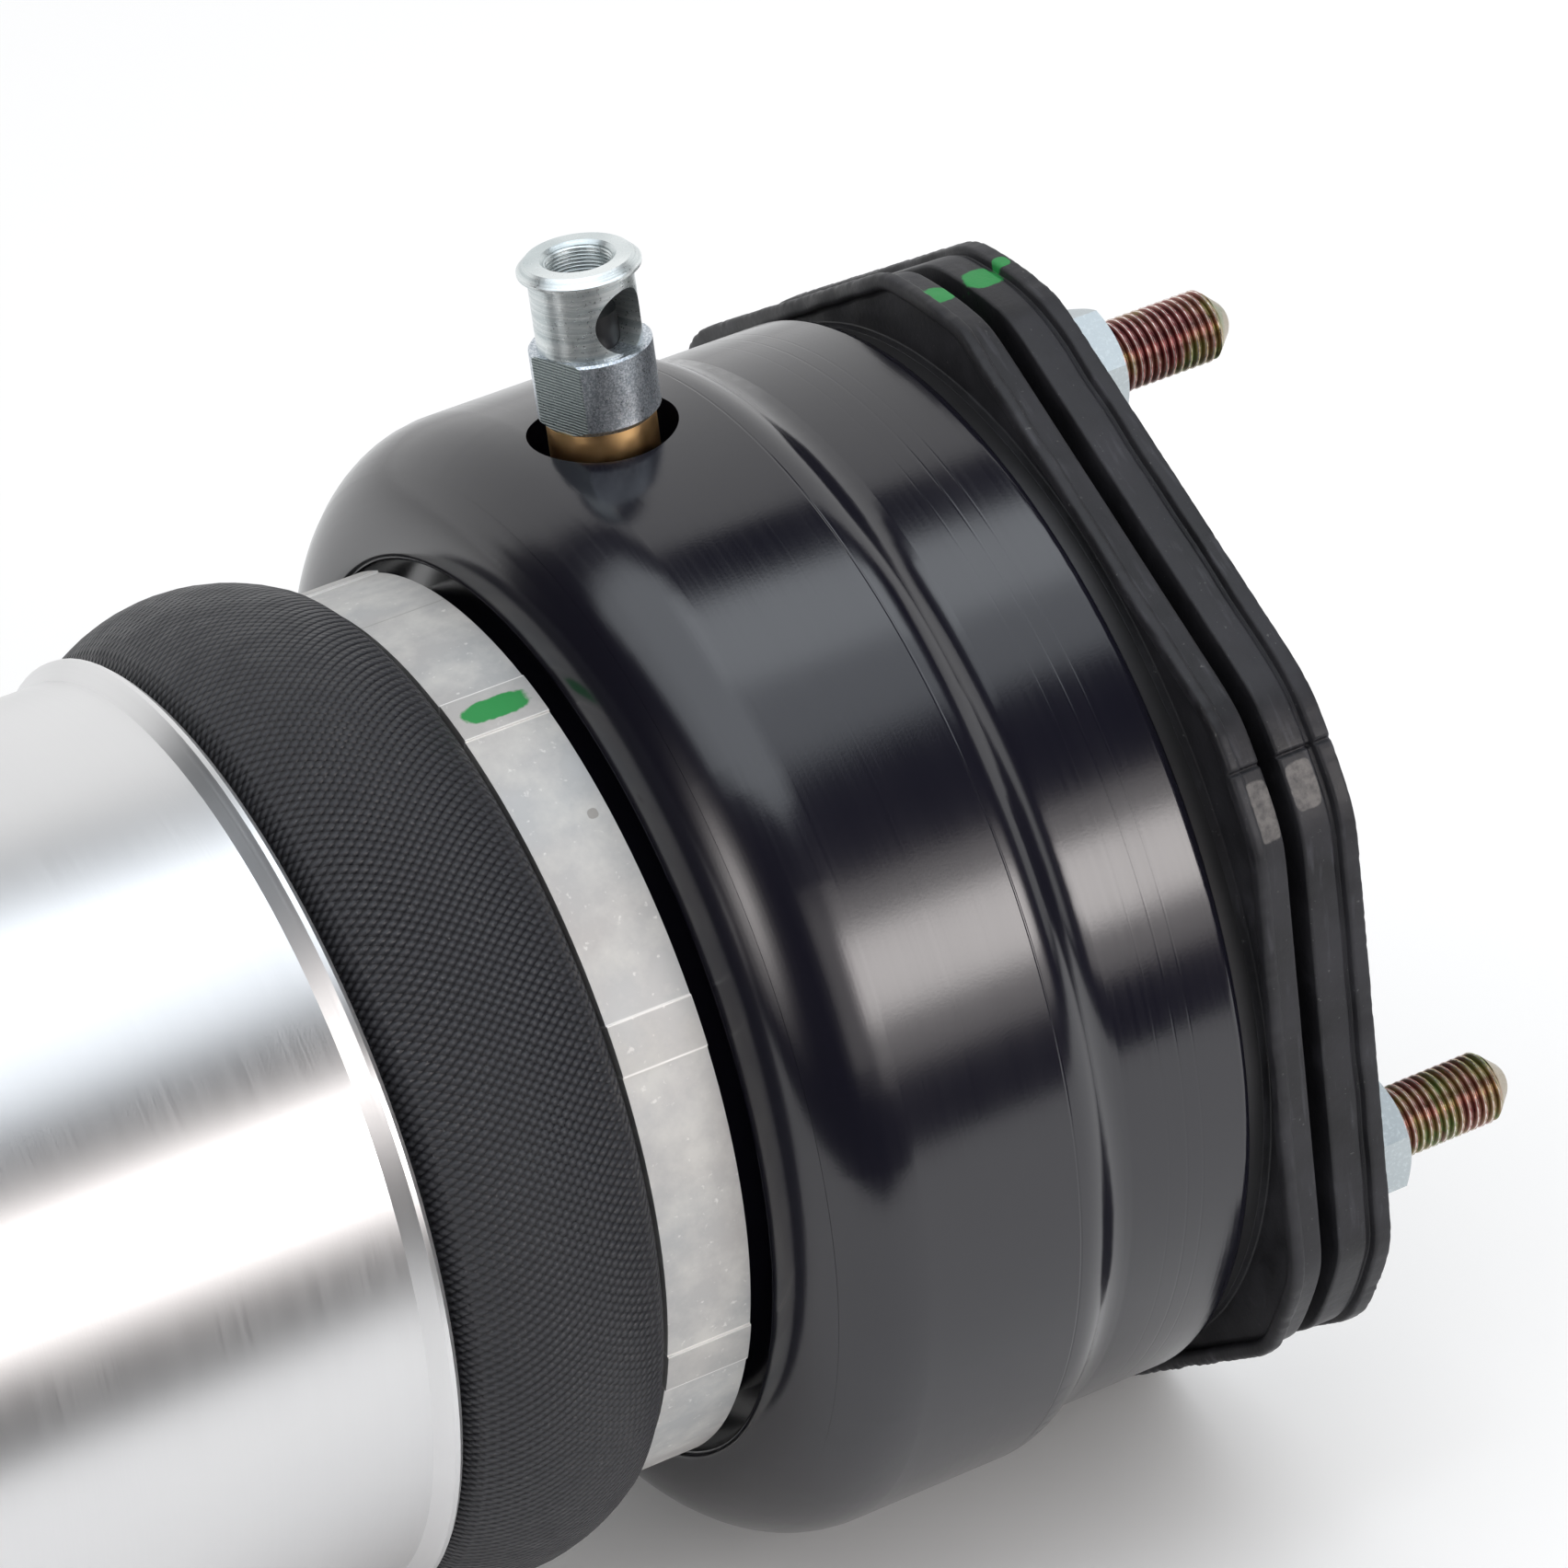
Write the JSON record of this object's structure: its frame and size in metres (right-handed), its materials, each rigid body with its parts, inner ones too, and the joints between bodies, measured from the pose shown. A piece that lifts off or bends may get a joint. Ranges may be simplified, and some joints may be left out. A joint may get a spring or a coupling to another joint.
{
  "type": "air suspension strut",
  "caption": "Externally guided air suspension strut: stepped black canister on a six-sided rubber mount with studs, air fitting, crimped bellows and a bright guide tube.",
  "frame": {"origin": "centre of the three studs, in the plane of their nuts' outer faces", "axes": "+X along the strut towards the stud ends, +Z through the first stud and close to the air fitting, +Y completes the right hand"},
  "size_m": [0.5707, 0.1572, 0.1864],
  "materials": {
    "black_aluminium": "turned and black anodised, satin gloss",
    "black_steel": "black coated",
    "mount_rubber": "moulded, matt",
    "yellow_zinc": "yellow zinc passivated",
    "white_zinc": "bright zinc plated",
    "brass": "turned",
    "dull_aluminium": "dull, pressed",
    "bellows_rubber": "fine knurled skin, matt",
    "bright_aluminium": "fine turned satin",
    "hard_chrome": "ground hard chrome",
    "stop_foam": "cellular foam",
    "boot_rubber": "moulded, matt",
    "band_steel": "stainless strip",
    "painted_steel": "black gloss paint",
    "piston_plastic": "moulded, matt"
  },
  "bodies": {
    "upper_mount": {"canister": "black_aluminium", "port_boss": "black_aluminium", "bush_housing": "black_aluminium", "base_plate": "black_steel", "mount_rubber": "mount_rubber", "stud_plate": "black_steel", "stud_1": "yellow_zinc", "stud_2": "yellow_zinc", "stud_3": "yellow_zinc", "nut_1": "white_zinc", "nut_2": "white_zinc", "nut_3": "white_zinc", "fitting_collar": "brass", "fitting_body": "white_zinc", "fitting_seal": "bellows_rubber", "crimp_ring": "dull_aluminium", "bellows": "bellows_rubber", "bush_shell": "black_steel", "bush_rubber": "mount_rubber"},
    "guide": {"guide_tube": "bright_aluminium", "guide_clamp_ring": "dull_aluminium", "bush_sleeve": "white_zinc", "rod_washer": "white_zinc", "rod_nut": "white_zinc", "piston_rod": "hard_chrome", "bump_stop_cup": "white_zinc", "bump_stop": "stop_foam", "damper_piston": "black_steel", "dust_boot": "boot_rubber", "boot_upper_band": "band_steel"},
    "damper": {"damper_tube": "painted_steel", "damper_gland": "painted_steel", "rod_seal": "bellows_rubber", "rolling_piston": "piston_plastic", "piston_clamp_ring": "dull_aluminium", "lower_eye": "painted_steel", "lower_bush_rubber": "mount_rubber", "boot_lower_band": "band_steel"},
    "eye_sleeve": {"lower_bush_sleeve": "white_zinc"}
  },
  "joints": [
    {"name": "cardan_tilt", "type": "hinge", "parent": "upper_mount", "child": "guide", "pos_m": [-0.043, 0, 0], "axis": [0, 0, 1], "range_deg": [-3, 3], "stiffness_Nm_per_rad": 60, "deforming": ["bellows", "bush_rubber"]},
    {"name": "damper_stroke", "type": "slide", "parent": "guide", "child": "damper", "axis": [1, 0, 0], "range_m": [0, 0.085], "stiffness_N_per_m": 600, "springref_m": -0.05, "deforming": ["dust_boot", "bellows"]},
    {"name": "lower_bush_twist", "type": "hinge", "parent": "damper", "child": "eye_sleeve", "pos_m": [-0.5265, 0, 0], "axis": [0, 1, 0], "range_deg": [-12, 12], "stiffness_Nm_per_rad": 8, "deforming": ["lower_bush_rubber"]}
  ]
}
